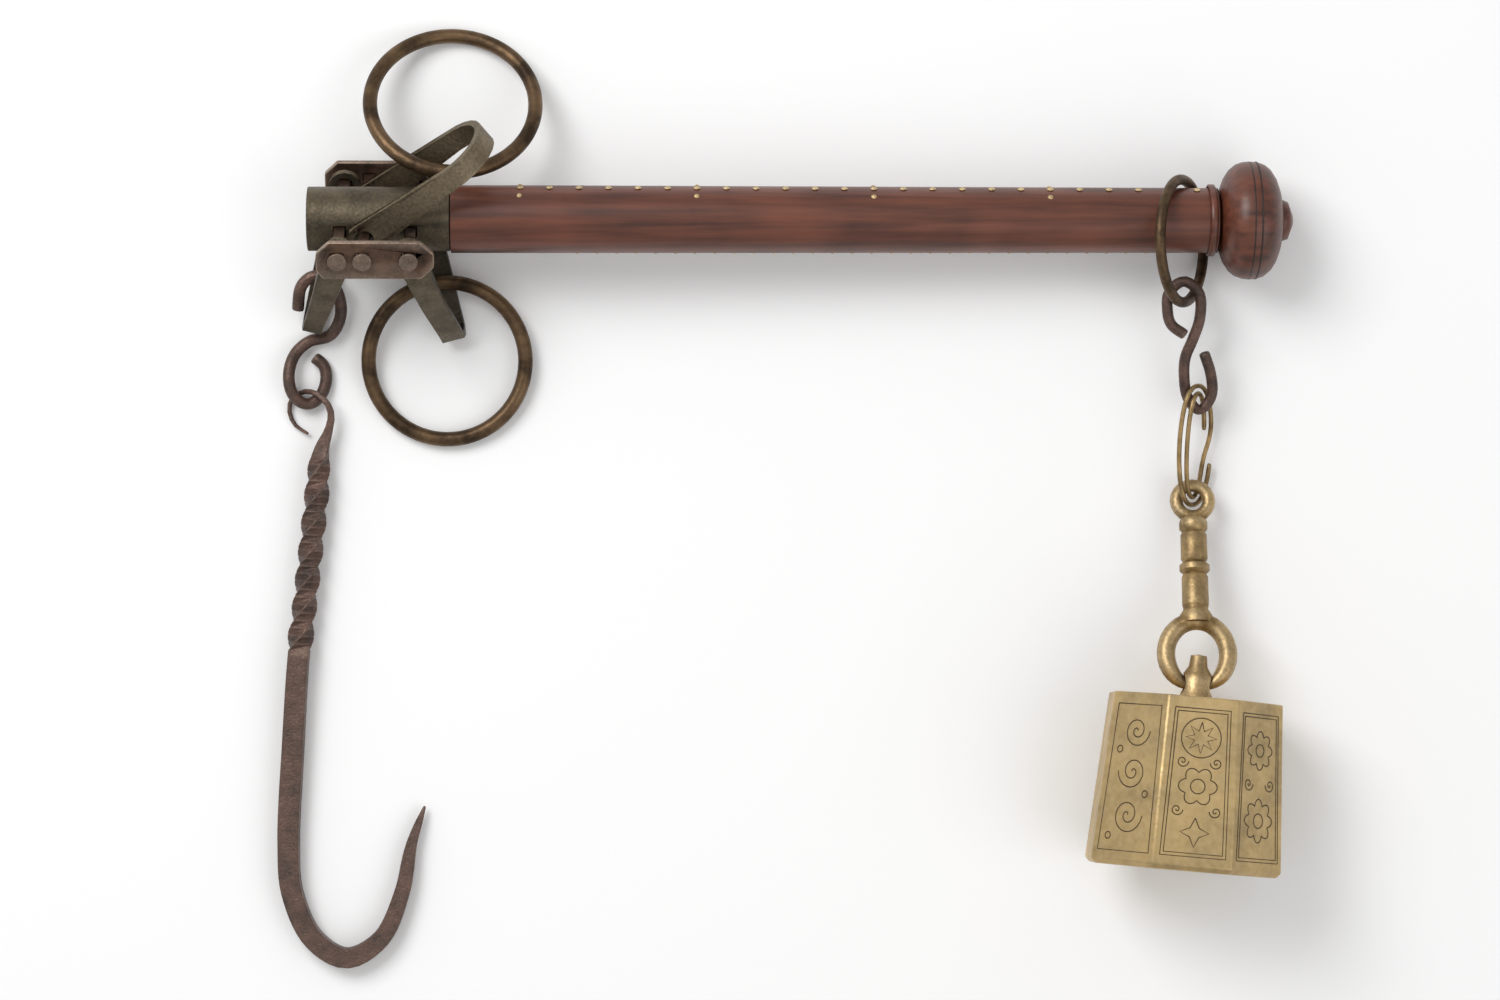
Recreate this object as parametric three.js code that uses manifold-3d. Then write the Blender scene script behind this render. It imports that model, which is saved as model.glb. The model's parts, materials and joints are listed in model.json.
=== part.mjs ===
// Steelyard balance lying flat on a table, in millimetres, +Z up
// Heights are above the table, and plan places are measured from the foot of the hand pivot

import * as THREE from 'three';
import { mergeVertices } from 'three/addons/utils/BufferGeometryUtils.js';
import Module from 'manifold-3d';

const wasm = await Module();
wasm.setup();

// Clearances
const seatGap = 0.3;
const tableGap = 0.68;

// Beam
const beamHeadRadius = 14.3;
const beamTailRadius = 13.7;
const beamStartX = 35.6;
const beamEndX = 358.0;
const tenonRadius = 9.9;
const spigotRadius = 7.0;
const spigotLength = 14.0;

// Knob
const knobRadius = 24.9;
const knobHalfLength = 14.0;
const knobPower = 2.5;
const buttonRadius = 8.8;
const buttonLength = 4.2;

// Head sleeve
const sleeveStartX = -24.4;
const sleeveRadius = 13.5;
const sleeveCap = 2.6;

// Pivots, by their distance along the beam from the hand pivot
const loadPivotX = -10.4;
const secondPivotX = 19.1;
const pivotWidth = 4.4;
const pivotDepth = 6.0;
const headRoll = THREE.MathUtils.degToRad(32);

// Cheeks
const cheekOuter = 36.7;
const cheekThickness = 2.5;
const cheekLength = 48.7;
const cheekHeight = 17.2;
const cheekCentreX = 5.2;
const cheekCorner = 5.6;
const rivetRadius = 3.9;
const rivetLength = 1.2;

// Shackles: strap thickness, eye size, reach and how far each hangs over
const strapThickness = 3.0;
const eyeRadius = 6.9;
const eyeHoleRadius = pivotDepth / 2 + 1.2;
const loadShackleReach = 53.8;
const upperShackleReach = 63.2;
const lowerShackleReach = 58.4;
const upperLegSpread = 17.0;
const loadLegSpread = 29.6;
const lowerLegSpread = 30.4;
const loadShackleTurn = THREE.MathUtils.degToRad(-15.2);
const upperShackleTurn = THREE.MathUtils.degToRad(127.5);
const lowerShackleTurn = THREE.MathUtils.degToRad(16.7);

// Rings
const upperRingRadius = 35.1;
const upperRingBar = 3.25;
const lowerRingRadius = 33.6;
const lowerRingBar = 3.3;
const poiseRingRadius = 26.0;
const poiseRingBar = 2.4;

// Iron bars, wire and weight
const linkBar = 2.8;
const hookHalf = 4.5;
const hookTwistTurns = 1.75;
const poiseHookBar = 2.55;
const wireRadius = 1.18;
const hangerBar = 3.9;
const hangerEyeRadius = 6.9;
const hangerEyeBar = 2.8;
const weightTopApothem = 35.1;
const weightBaseApothem = 39.7;
const weightHeight = 72.0;
const weightRim = 2.0;
const weightLean = THREE.MathUtils.degToRad(-5);
const finialSpigotRadius = 3.0;
const finialSpigotLength = 6.0;
const finialHoleHeight = 5.5;
const finialHoleRadius = 4.8;

// Scale pins
const pinRadius = 1.5;
const pinHeight = 0.45;
const nearPinStart = 64.6;
const nearPinPitch = 12.37;
const nearPinCount = 24;

// Derived heights: the cheek's lower edge and the knob rest on the table
const headHeight = cheekOuter * Math.cos(headRoll) + cheekHeight / 2 * Math.sin(headRoll) + tableGap;
const knobCentreX = beamEndX + knobHalfLength;
const beamTilt = Math.asin((headHeight - knobRadius - 0.1) / knobCentreX);

const materials = {
  wood: new THREE.MeshStandardMaterial({ color: 0x6b3f26, roughness: 0.55, metalness: 0 }),
  sleeve: new THREE.MeshStandardMaterial({ color: 0x4a4638, roughness: 0.5, metalness: 0.8 }),
  cheek: new THREE.MeshStandardMaterial({ color: 0x6a4c38, roughness: 0.5, metalness: 0.8 }),
  iron: new THREE.MeshStandardMaterial({ color: 0x3c332c, roughness: 0.7, metalness: 0.6 }),
  bronze: new THREE.MeshStandardMaterial({ color: 0x5a4630, roughness: 0.5, metalness: 0.8 }),
  brass: new THREE.MeshStandardMaterial({ color: 0xa98a55, roughness: 0.45, metalness: 0.9 }),
};

const clean = (geometry) => {
  const copy = geometry.clone();
  copy.deleteAttribute('normal');
  copy.deleteAttribute('uv');
  return mergeVertices(copy, 1e-4);
};

const toSolid = (geometry) => {
  const merged = clean(geometry);
  return new wasm.Manifold(new wasm.Mesh({
    numProp: 3,
    vertProperties: new Float32Array(merged.attributes.position.array),
    triVerts: new Uint32Array(merged.index.array),
  }));
};

const toGeometry = (solid) => {
  const mesh = solid.getMesh();
  const geometry = new THREE.BufferGeometry();
  geometry.setAttribute('position', new THREE.BufferAttribute(new Float32Array(mesh.vertProperties), 3));
  geometry.setIndex(new THREE.BufferAttribute(new Uint32Array(mesh.triVerts), 1));
  geometry.computeVertexNormals();
  return geometry;
};

const cut = (geometry, ...tools) =>
  toGeometry(tools.reduce((solid, tool) => solid.subtract(toSolid(tool)), toSolid(geometry)));

const join = (...pieces) =>
  toGeometry(pieces.slice(1).reduce((solid, piece) => solid.add(toSolid(piece)), toSolid(pieces[0])));

const mesh = (name, geometry, material) => {
  const result = new THREE.Mesh(geometry, material);
  result.name = name;
  return result;
};

// A round bar turned about the beam's own axis, from pairs of [x, radius]
const turnedAlongX = (profile, segments) => {
  const points = profile.map(([x, radius]) => new THREE.Vector2(radius, x));
  return new THREE.LatheGeometry(points, segments).rotateZ(-Math.PI / 2);
};

// A bar swept along a curve: a cylinder whose rings are moved onto the curve, with its own half sizes
// across and through, and its twist, at every step
const sweep = (curve, steps, sides, { half, through = half, twist = () => 0, flat = null }) => {
  const geometry = new THREE.CylinderGeometry(1, 1, 1, sides, steps);
  const position = geometry.attributes.position;
  const frames = curve.computeFrenetFrames(steps, false);
  const point = new THREE.Vector3();
  for (let index = 0; index < position.count; index += 1) {
    const along = 0.5 - position.getY(index);
    const step = Math.round(along * steps);
    const tangent = frames.tangents[step];
    const normal = flat ? new THREE.Vector3().crossVectors(flat, tangent).normalize() : frames.normals[step];
    const binormal = new THREE.Vector3().crossVectors(tangent, normal);
    const turn = twist(along);
    const across = position.getX(index);
    const up = position.getZ(index);
    const turnedAcross = (across * Math.cos(turn) - up * Math.sin(turn)) * half(along);
    const turnedUp = (across * Math.sin(turn) + up * Math.cos(turn)) * through(along);
    curve.getPointAt(along, point);
    point.addScaledVector(normal, turnedAcross).addScaledVector(binormal, turnedUp);
    position.setXYZ(index, point.x, point.y, point.z);
  }
  geometry.computeVertexNormals();
  return geometry;
};

const curveThrough = (points, tension = 0.5) =>
  new THREE.CatmullRomCurve3(points.map((point) => new THREE.Vector3(...point)), false, 'centripetal', tension);

// A strap shackle: its side view is an outline round the centre line [spread, drop], its width follows the drop
const shackle = (halfLine, width) => {
  const line = [...halfLine, ...halfLine.slice(0, -1).reverse().map(([spread, drop]) => [-spread, drop])]
    .map(([spread, drop]) => new THREE.Vector2(spread, drop));
  const side = (sign) => line.map((point, index) => {
    const before = line[Math.max(index - 1, 0)];
    const after = line[Math.min(index + 1, line.length - 1)];
    const along = after.clone().sub(before).normalize();
    return new THREE.Vector2(point.x - sign * along.y * strapThickness / 2,
      point.y + sign * along.x * strapThickness / 2);
  });
  const outline = new THREE.Shape([...side(1), ...side(-1).reverse()]);
  const geometry = new THREE.ExtrudeGeometry(outline, { depth: 1, bevelEnabled: false });
  geometry.translate(0, 0, -0.5).rotateY(Math.PI / 2);
  const position = geometry.attributes.position;
  for (let index = 0; index < position.count; index += 1) {
    position.setX(index, position.getX(index) * width(position.getY(index)));
  }
  const hole = new THREE.CylinderGeometry(eyeHoleRadius, eyeHoleRadius, 4 * loadLegSpread, 20).rotateX(Math.PI / 2);
  return cut(geometry, hole);
};

// Strap width at a drop below the pivot: a round eye above it, then a taper
const strapWidth = (atEye, atEnd, reach) => (drop) => {
  if (drop > 0) {
    return 2 * Math.sqrt(Math.max(eyeRadius * eyeRadius - drop * drop, 1.5));
  }
  return THREE.MathUtils.lerp(Math.max(atEye, 2 * eyeRadius - 1.2 * -drop), atEnd, Math.min(1, -drop / reach));
};

const eyeSteps = [0.97, 0.8, 0.45];
const eyeLine = (spread) => eyeSteps.map((share) => [spread, share * eyeRadius]);

// Wooden beam and knob
const beamGeometry = () => {
  const rod = turnedAlongX([
    [sleeveStartX + sleeveCap + seatGap, 0],
    [sleeveStartX + sleeveCap + seatGap, tenonRadius],
    [beamStartX, tenonRadius],
    [beamStartX, beamHeadRadius],
    [beamEndX, beamTailRadius],
    [beamEndX, spigotRadius],
    [beamEndX + spigotLength, spigotRadius],
    [beamEndX + spigotLength, 0],
  ], 32);
  return cut(rod, ...pivotCuts());
};

const knobGeometry = () => {
  const knobStart = beamEndX + seatGap;
  const profile = [
    [beamEndX + spigotLength + seatGap, 0],
    [beamEndX + spigotLength + seatGap, spigotRadius + seatGap],
    [knobStart, spigotRadius + seatGap],
  ];
  const steps = 14;
  for (let step = 0; step <= steps; step += 1) {
    const angle = Math.PI * (step / steps);
    const x = -Math.cos(angle);
    const shape = (1 - Math.abs(x) ** knobPower) ** (1 / knobPower);
    const radius = Math.max(knobRadius * shape, step === 0 ? beamTailRadius : buttonRadius);
    profile.push([knobCentreX + x * (knobHalfLength - seatGap), radius]);
  }
  const end = knobCentreX + knobHalfLength;
  profile.push([end + buttonLength * 0.5, buttonRadius * 0.9], [end + buttonLength, 2.5], [end + buttonLength, 0]);
  return turnedAlongX(profile, 32);
};

// Head: sleeve, pivots and cheeks
const sleeveGeometry = () => cut(turnedAlongX([
  [sleeveStartX, 0],
  [sleeveStartX, sleeveRadius],
  [beamStartX - seatGap, sleeveRadius],
  [beamStartX - seatGap, tenonRadius + seatGap],
  [sleeveStartX + sleeveCap, tenonRadius + seatGap],
  [sleeveStartX + sleeveCap, 0],
], 32), ...pivotCuts());

const pivotPlaces = [loadPivotX, 0, secondPivotX];

// The knife-edge bar has its edge along the bottom
const pivotSection = (grow) => {
  const half = pivotWidth / 2 + grow;
  const deep = pivotDepth / 2 + grow;
  return new THREE.Shape([
    new THREE.Vector2(-half, deep),
    new THREE.Vector2(-half, -deep * 0.35),
    new THREE.Vector2(-0.5, -deep),
    new THREE.Vector2(0.5, -deep),
    new THREE.Vector2(half, -deep * 0.35),
    new THREE.Vector2(half, deep),
  ]);
};

const pivotBar = (grow, length) =>
  new THREE.ExtrudeGeometry(pivotSection(grow), { depth: length, bevelEnabled: false }).translate(0, 0, -length / 2);

const pivotCuts = () => pivotPlaces.map((x) =>
  pivotBar(seatGap, 3 * cheekOuter).rotateX(headRoll).translate(x, 0, 0));

const pivotGeometry = () => {
  const rivet = (sign) => new THREE.CylinderGeometry(rivetRadius, rivetRadius, rivetLength, 14)
    .rotateX(Math.PI / 2)
    .translate(0, 0, sign * (cheekOuter + seatGap + rivetLength / 2));
  return join(pivotBar(0, 2 * (cheekOuter + seatGap) + 0.2), rivet(1), rivet(-1));
};

const cheekGeometry = () => {
  const half = cheekLength / 2;
  const tall = cheekHeight / 2;
  const outline = new THREE.Shape([
    new THREE.Vector2(-half, -tall + cheekCorner * 0.7),
    new THREE.Vector2(-half + cheekCorner * 0.5, -tall),
    new THREE.Vector2(half - cheekCorner, -tall),
    new THREE.Vector2(half, -tall + cheekCorner),
    new THREE.Vector2(half, tall - cheekCorner),
    new THREE.Vector2(half - cheekCorner, tall),
    new THREE.Vector2(-half + cheekCorner, tall),
    new THREE.Vector2(-half, tall - cheekCorner),
  ]);
  const plate = new THREE.ExtrudeGeometry(outline, { depth: cheekThickness, bevelEnabled: false })
    .translate(cheekCentreX, 0, 0);
  return cut(plate, ...pivotPlaces.map((x) => pivotBar(seatGap, 4 * cheekThickness).translate(x, 0, 0)));
};

// Shackles
const loadShackleGeometry = () => shackle([
  ...eyeLine(loadLegSpread), [loadLegSpread, 0], [27.6, -12], [19.5, -30], [8.4, -46.5], [5.6, -52], [0, -loadShackleReach],
], strapWidth(11.8, 8.0, loadShackleReach));

const upperShackleGeometry = () => {
  const bend = upperShackleReach - upperLegSpread;
  const arc = [];
  for (let step = 0; step <= 6; step += 1) {
    const angle = (step / 6) * Math.PI / 2;
    arc.push([upperLegSpread * Math.cos(angle), -bend - upperLegSpread * Math.sin(angle)]);
  }
  arc[arc.length - 1][0] = 0;
  return shackle([...eyeLine(upperLegSpread), [upperLegSpread, 0], [upperLegSpread, -bend / 2], ...arc],
    strapWidth(12.6, 9.3, upperShackleReach * 0.5));
};

const lowerShackleGeometry = () => shackle([
  ...eyeLine(lowerLegSpread), [lowerLegSpread, 0], [28, -14], [19, -33], [7.6, -51], [4.6, -57], [0, -lowerShackleReach],
], strapWidth(10.9, 9.7, lowerShackleReach));

// Beam group: the head, the knob, the shackles and the scale pins turn with the beam
const beam = new THREE.Group();
beam.position.z = headHeight;
beam.rotation.y = beamTilt;

const head = new THREE.Group();
head.rotation.x = headRoll;
beam.add(head);

beam.add(mesh('beam_rod', beamGeometry(), materials.wood));
beam.add(mesh('end_knob', knobGeometry(), materials.wood));
beam.add(mesh('head_sleeve', sleeveGeometry(), materials.sleeve));

const pivotNames = ['load_pivot', 'hand_pivot', 'second_pivot'];
pivotPlaces.forEach((x, index) => {
  const pivot = mesh(pivotNames[index], pivotGeometry(), materials.cheek);
  pivot.position.x = x;
  head.add(pivot);
});

const frontCheek = mesh('front_cheek', cheekGeometry(), materials.cheek);
frontCheek.position.z = cheekOuter - cheekThickness;
const backCheek = mesh('back_cheek', cheekGeometry(), materials.cheek);
backCheek.position.z = -cheekOuter;
head.add(frontCheek, backCheek);

const shackleSpecs = [
  ['load_shackle', loadShackleGeometry(), loadPivotX, loadShackleTurn],
  ['upper_shackle', upperShackleGeometry(), 0, upperShackleTurn],
  ['lower_shackle', lowerShackleGeometry(), secondPivotX, lowerShackleTurn],
];
shackleSpecs.forEach(([name, geometry, x, turn]) => {
  const piece = mesh(name, geometry, materials.sleeve);
  piece.position.x = x;
  piece.rotation.z = turn;
  head.add(piece);
});

// Domed nail heads just proud of the beam
const pinGeometry = () => new THREE.LatheGeometry([
  new THREE.Vector2(0, 0),
  new THREE.Vector2(pinRadius, 0),
  new THREE.Vector2(pinRadius * 0.7, pinHeight * 0.7),
  new THREE.Vector2(0, pinHeight),
], 7);

const beamRadiusAt = (x) =>
  THREE.MathUtils.mapLinear(x, beamStartX, beamEndX, beamHeadRadius, beamTailRadius);

const pinAt = (x, angle) => pinGeometry()
  .translate(0, beamRadiusAt(x) + seatGap, 0)
  .rotateX(angle)
  .translate(x, 0, 0);

const nearLine = THREE.MathUtils.degToRad(27);

for (let index = 0; index < nearPinCount; index += 1) {
  const x = nearPinStart + index * nearPinPitch;
  beam.add(mesh(`scale_pin_${index + 1}`, pinAt(x, nearLine), materials.brass));
}

// A ring held by the bar inside a shackle, with its far side on the table
const ring = (name, radius, bar, seat, turn, towardUser, material) => {
  const rise = Math.asin((seat.z - bar - 0.1) / (2 * radius));
  const piece = mesh(name, new THREE.TorusGeometry(radius, bar, 10, 36), material);
  const holder = new THREE.Group();
  holder.position.copy(seat);
  holder.rotation.set(0, 0, turn);
  const tilt = new THREE.Group();
  tilt.rotation.x = -towardUser * rise;
  piece.position.y = towardUser * radius;
  tilt.add(piece);
  holder.add(tilt);
  return holder;
};

// Place on a shackle, from its drop, its place between the legs and its place across the strap
const shacklePlace = (x, turn, drop, between, across) => {
  const place = new THREE.Vector3(across, -drop, between).applyAxisAngle(new THREE.Vector3(0, 0, 1), turn);
  place.x += x;
  place.applyAxisAngle(new THREE.Vector3(1, 0, 0), headRoll);
  place.applyAxisAngle(new THREE.Vector3(0, 1, 0), beamTilt);
  place.z += headHeight;
  return place;
};

const upperSeat = shacklePlace(0, upperShackleTurn, 36.0, -7.6, -4.2);
const upperRing = ring('upper_ring', upperRingRadius, upperRingBar, upperSeat,
  THREE.MathUtils.degToRad(-7.9), 1, materials.bronze);

const lowerRingSeat = new THREE.Vector3(31.9, -25.2, 8.7);
const lowerRing = ring('lower_ring', lowerRingRadius, lowerRingBar, lowerRingSeat, 0, -1, materials.bronze);

// Iron link: an oval for the hook below, and a bend over the load shackle above
const linkGeometry = () => sweep(curveThrough([
  [-25.2, -57.0, 3.0], [-20.9, -60.5, 2.9], [-19.9, -67.0, 2.9], [-22.6, -74.0, 3.4], [-27.7, -77.2, 4.6],
  [-33.4, -73.6, 7.2], [-35.5, -65.5, 7.2], [-33.2, -56.0, 4.6], [-27.0, -50.2, 3.2], [-18.2, -47.8, 3.4],
  [-13.6, -40.0, 5.6], [-13.9, -31.0, 9.6], [-18.0, -24.4, 12.0], [-24.0, -22.6, 12.6], [-29.6, -27.0, 12.0],
  [-31.4, -37.5, 9.4],
]), 56, 8, { half: () => linkBar });

// Load hook: a thin eye, a square bar twisted below it, and the gaping hook
const hookGeometry = () => {
  const hookCurve = curveThrough([
    [-27.5, -89.8, 2.6], [-33.4, -85.8, 1.9], [-35.8, -79.6, 1.8], [-34.6, -74.6, 1.9], [-31.4, -72.4, 3.0],
    [-27.6, -71.6, 5.2], [-22.8, -73.2, 8.2], [-18.8, -77.0, 8.6], [-17.3, -82.0, 7.6], [-18.6, -88.6, 7.0],
    [-21.6, -97.0, 6.8], [-23.8, -118.0, 6.8], [-28.5, -160.7, 6.8], [-31.4, -186.0, 6.4], [-33.8, -223.8, 5.2],
    [-35.7, -264.8, 4.8], [-34.2, -285.3, 4.8], [-25.1, -305.2, 4.8], [-11.0, -313.4, 4.8], [3.7, -305.2, 4.8],
    [12.7, -285.3, 4.8], [16.7, -264.8, 4.4], [22.3, -248.6, 3.4],
  ]);
  const sizes = [
    [0, 0.9], [0.03, 1.3], [0.08, 1.5], [0.115, 1.9], [0.14, 2.4], [0.165, 4.4],
    [0.2, hookHalf * 1.3], [0.36, hookHalf * 1.3], [0.4, hookHalf * 1.38], [0.56, hookHalf * 1.44],
    [0.8, hookHalf * 1.32], [0.93, hookHalf * 0.9], [0.98, 2.2], [1, 0.8],
  ];
  const sizeAt = (along) => {
    const next = Math.max(1, sizes.findIndex(([place]) => place >= along));
    const [from, small] = sizes[next - 1];
    const [to, large] = sizes[next];
    return THREE.MathUtils.mapLinear(along, from, to, small, large);
  };
  const twistStart = 0.17;
  const twistEnd = 0.4;
  const square = Math.PI / 4;
  const twist = (along) => {
    const share = THREE.MathUtils.clamp((along - twistStart) / (twistEnd - twistStart), 0, 1);
    return square + share * hookTwistTurns * 2 * Math.PI;
  };
  return sweep(hookCurve, 110, 4, { half: sizeAt, twist, flat: new THREE.Vector3(0, 0, 1) });
};

// Ring on the beam, that the weight hangs by
const poiseRingX = 343.5;
const poiseRingY = -8.7;
const poiseRingTurn = THREE.MathUtils.degToRad(26);
const poiseRing = mesh('poise_ring', new THREE.TorusGeometry(poiseRingRadius, poiseRingBar, 9, 32), materials.bronze);
poiseRing.position.set(poiseRingX, poiseRingY, poiseRingRadius * Math.cos(poiseRingTurn) + poiseRingBar + 0.1);
poiseRing.rotation.y = Math.PI / 2 - poiseRingTurn;

const poiseHookGeometry = () => sweep(curveThrough([
  [345.3, -48.3, 22.0], [339.0, -43.6, 22.4], [337.4, -36.0, 23.4], [338.0, -30.4, 24.4], [344.2, -25.6, 25.2],
  [350.6, -30.4, 25.2], [351.2, -41.0, 23.6], [348.3, -50.4, 21.0], [345.5, -57.6, 18.6], [345.2, -65.0, 16.4],
  [347.0, -74.6, 13.8], [352.0, -79.9, 12.6], [357.0, -74.0, 13.8], [356.6, -65.0, 16.4], [353.4, -55.4, 18.6],
]), 60, 8, { half: () => poiseHookBar });

// Wire wound twice round the hook above and the eye below, as one strand
const wireTop = new THREE.Vector3(351.5, -72.6, 14.2);
const wireBottom = new THREE.Vector3(349.3, -117.0, 9.6);
const wireInner = 4.1;
const wireStrandStep = 2 * wireRadius + 0.9;
const wireSwing = 6.5;
const wireTurns = 2;
const wireStepsPerTurn = 28;

const wirePoint = (angle) => {
  const change = THREE.MathUtils.smoothstep(angle, 2 * Math.PI - 0.4, 2 * Math.PI + 0.4);
  const reach = wireInner + change * wireStrandStep;
  const bend = Math.sin(angle);
  const along = THREE.MathUtils.clamp(0.5 - bend * 0.5, 0, 1);
  const centre = wireTop.clone().lerp(wireBottom, along);
  const side = Math.sign(Math.cos(angle)) * Math.abs(Math.cos(angle)) ** 0.75;
  const swing = Math.tanh(2.2 * Math.cos(angle)) / Math.tanh(2.2);
  return new THREE.Vector3(
    centre.x + side * reach,
    centre.y + bend * (reach - wireInner),
    centre.z - swing * wireSwing,
  );
};

const wireGeometry = () => {
  const points = [];
  const count = wireTurns * wireStepsPerTurn;
  const from = 0.3;
  const to = wireTurns * 2 * Math.PI - 0.3;
  for (let step = 0; step <= count; step += 1) {
    points.push(wirePoint(THREE.MathUtils.lerp(from, to, step / count)));
  }
  let least = Infinity;
  points.forEach((point, index) => points.slice(index + 5).forEach((other) => {
    least = Math.min(least, point.distanceTo(other) - 2 * wireRadius);
  }));
  console.log('wire_link least gap to itself', least.toFixed(2));
  return sweep(new THREE.CatmullRomCurve3(points), count, 6, { half: () => wireRadius });
};

// Weight, lying on one facet
const weightTilt = -Math.atan((weightBaseApothem - weightTopApothem) / weightHeight);
const cornerShare = 1 / Math.cos(Math.PI / 8);
const weightTopCentre = new THREE.Vector3(348.2, -201.4, weightTopApothem * Math.cos(weightTilt) + 0.1);

const weight = new THREE.Group();
weight.rotation.order = 'ZXY';
weight.rotation.set(weightTilt, 0, weightLean);
weight.position.copy(weightTopCentre);

const weightGeometry = () => {
  const slope = (weightBaseApothem - weightTopApothem) / weightHeight;
  const profile = [
    new THREE.Vector2(0, -weightHeight),
    new THREE.Vector2((weightBaseApothem - weightRim) * cornerShare, -weightHeight),
    new THREE.Vector2((weightBaseApothem - slope * weightRim) * cornerShare, -weightHeight + weightRim),
    new THREE.Vector2(weightTopApothem * cornerShare, 0),
    new THREE.Vector2(0, 0),
  ];
  const block = new THREE.LatheGeometry(profile, 8, Math.PI / 8);
  const socket = new THREE.CylinderGeometry(finialSpigotRadius + seatGap, finialSpigotRadius + seatGap,
    2 * (finialSpigotLength + seatGap), 16);
  return cut(block, socket);
};

const finialGeometry = () => {
  const bell = new THREE.LatheGeometry([
    [0, -finialSpigotLength],
    [finialSpigotRadius, -finialSpigotLength],
    [finialSpigotRadius, seatGap],
    [7.0, seatGap],
    [6.9, 7.6],
    [5.9, 10.4],
    [4.0, 13.4],
    [3.4, 18.0],
    [0, 18.6],
  ].map(([radius, height]) => new THREE.Vector2(radius, height)), 18);
  const hole = new THREE.CylinderGeometry(finialHoleRadius, finialHoleRadius, 30, 16)
    .rotateZ(Math.PI / 2)
    .translate(0, finialHoleHeight, 0);
  return cut(bell, hole);
};

weight.add(mesh('weight_body', weightGeometry(), materials.brass));
weight.add(mesh('weight_eye', finialGeometry(), materials.brass));

// Hanger: an eye, a turned stem and an oval loop through the finial
const hangerTop = new THREE.Vector3(349.3, -118.4, 11.0);
const loopSeat = new THREE.Vector3(0, finialHoleHeight - 0.7, 0)
  .applyEuler(weight.rotation)
  .add(weightTopCentre);
const hangerRun = loopSeat.clone().sub(hangerTop);
const hangerSlope = Math.atan2(hangerRun.z, -hangerRun.y);
const hangerLength = Math.hypot(hangerRun.y, hangerRun.z);
const loopHalfWidth = 13.1;
const loopHalfHeight = 14.4;
const loopCentre = -(hangerLength - loopHalfHeight);

const hangerGeometry = () => {
  const eye = new THREE.TorusGeometry(hangerEyeRadius, hangerEyeBar, 8, 20);
  const stemTop = -(hangerEyeRadius + 1);
  const stemEnd = loopCentre + loopHalfHeight - 1;
  const stemShares = [
    [0, 0], [0, 6.6], [0.07, 7.0], [0.13, 5.2], [0.16, 5.5], [0.18, 5.7], [0.44, 5.6], [0.47, 4.8], [0.5, 6.4],
    [0.55, 6.4], [0.58, 4.8], [0.61, 5.7], [0.84, 5.6], [0.87, 4.9], [0.9, 6.0], [0.96, 6.0], [1, 5.2], [1, 0],
  ];
  const stem = new THREE.LatheGeometry(stemShares.map(([share, radius]) =>
    new THREE.Vector2(radius, THREE.MathUtils.lerp(stemEnd, stemTop, share))), 18);
  const loopCurve = new THREE.CatmullRomCurve3(Array.from({ length: 33 }, (unused, index) => {
    const angle = Math.PI / 2 + (index / 32) * 2 * Math.PI;
    const close = index === 32 ? 0.05 : 0;
    return new THREE.Vector3(loopHalfWidth * Math.cos(angle) + close,
      loopCentre + loopHalfHeight * Math.sin(angle), 0);
  }));
  const loopBar = (along) => hangerBar - 2.3 * Math.exp(-(((along - 0.5) / 0.11) ** 2));
  const loop = sweep(loopCurve, 36, 8, { half: loopBar, flat: new THREE.Vector3(0, 0, 1) });
  return join(stem, eye, loop);
};

const hanger = mesh('hanger', hangerGeometry(), materials.brass);
hanger.position.copy(hangerTop);
hanger.rotation.x = -hangerSlope;

// The whole balance, with its origin under the middle of its box
const balance = new THREE.Group();
balance.add(
  beam,
  upperRing,
  lowerRing,
  mesh('load_link', linkGeometry(), materials.iron),
  mesh('load_hook', hookGeometry(), materials.iron),
  poiseRing,
  mesh('poise_hook', poiseHookGeometry(), materials.iron),
  mesh('wire_link', wireGeometry(), materials.brass),
  hanger,
  weight,
);
balance.updateMatrixWorld(true);
const box = new THREE.Box3().setFromObject(balance, true);
balance.position.set(-(box.min.x + box.max.x) / 2, -(box.min.y + box.max.y) / 2, -box.min.z);
console.log('shift', balance.position.toArray().map((value) => value.toFixed(2)).join(' '));

export default balance;
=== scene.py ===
"""Steelyard balance: the finished look of its beam, head, chain and weight."""

import json
import math

import bmesh
import bpy
from bpy.props import FloatProperty, FloatVectorProperty, IntProperty, PointerProperty
from mathutils import Matrix, Vector


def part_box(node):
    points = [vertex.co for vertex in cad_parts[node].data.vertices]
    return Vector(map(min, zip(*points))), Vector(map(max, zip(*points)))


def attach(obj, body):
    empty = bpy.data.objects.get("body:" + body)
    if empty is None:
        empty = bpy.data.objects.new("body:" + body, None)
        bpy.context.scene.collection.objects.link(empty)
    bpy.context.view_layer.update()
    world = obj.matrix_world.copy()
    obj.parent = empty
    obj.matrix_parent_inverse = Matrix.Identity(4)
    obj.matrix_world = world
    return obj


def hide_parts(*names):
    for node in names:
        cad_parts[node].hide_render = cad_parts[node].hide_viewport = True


bl_info = {
    "name": "Steelyard Balance",
    "version": (1, 0, 0),
    "blender": (4, 5, 0),
    "location": "3D View > Sidebar > Steelyard",
    "description": "Builds the finished surfaces of a steelyard balance lying on a table",
    "category": "Add Mesh",
}

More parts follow.
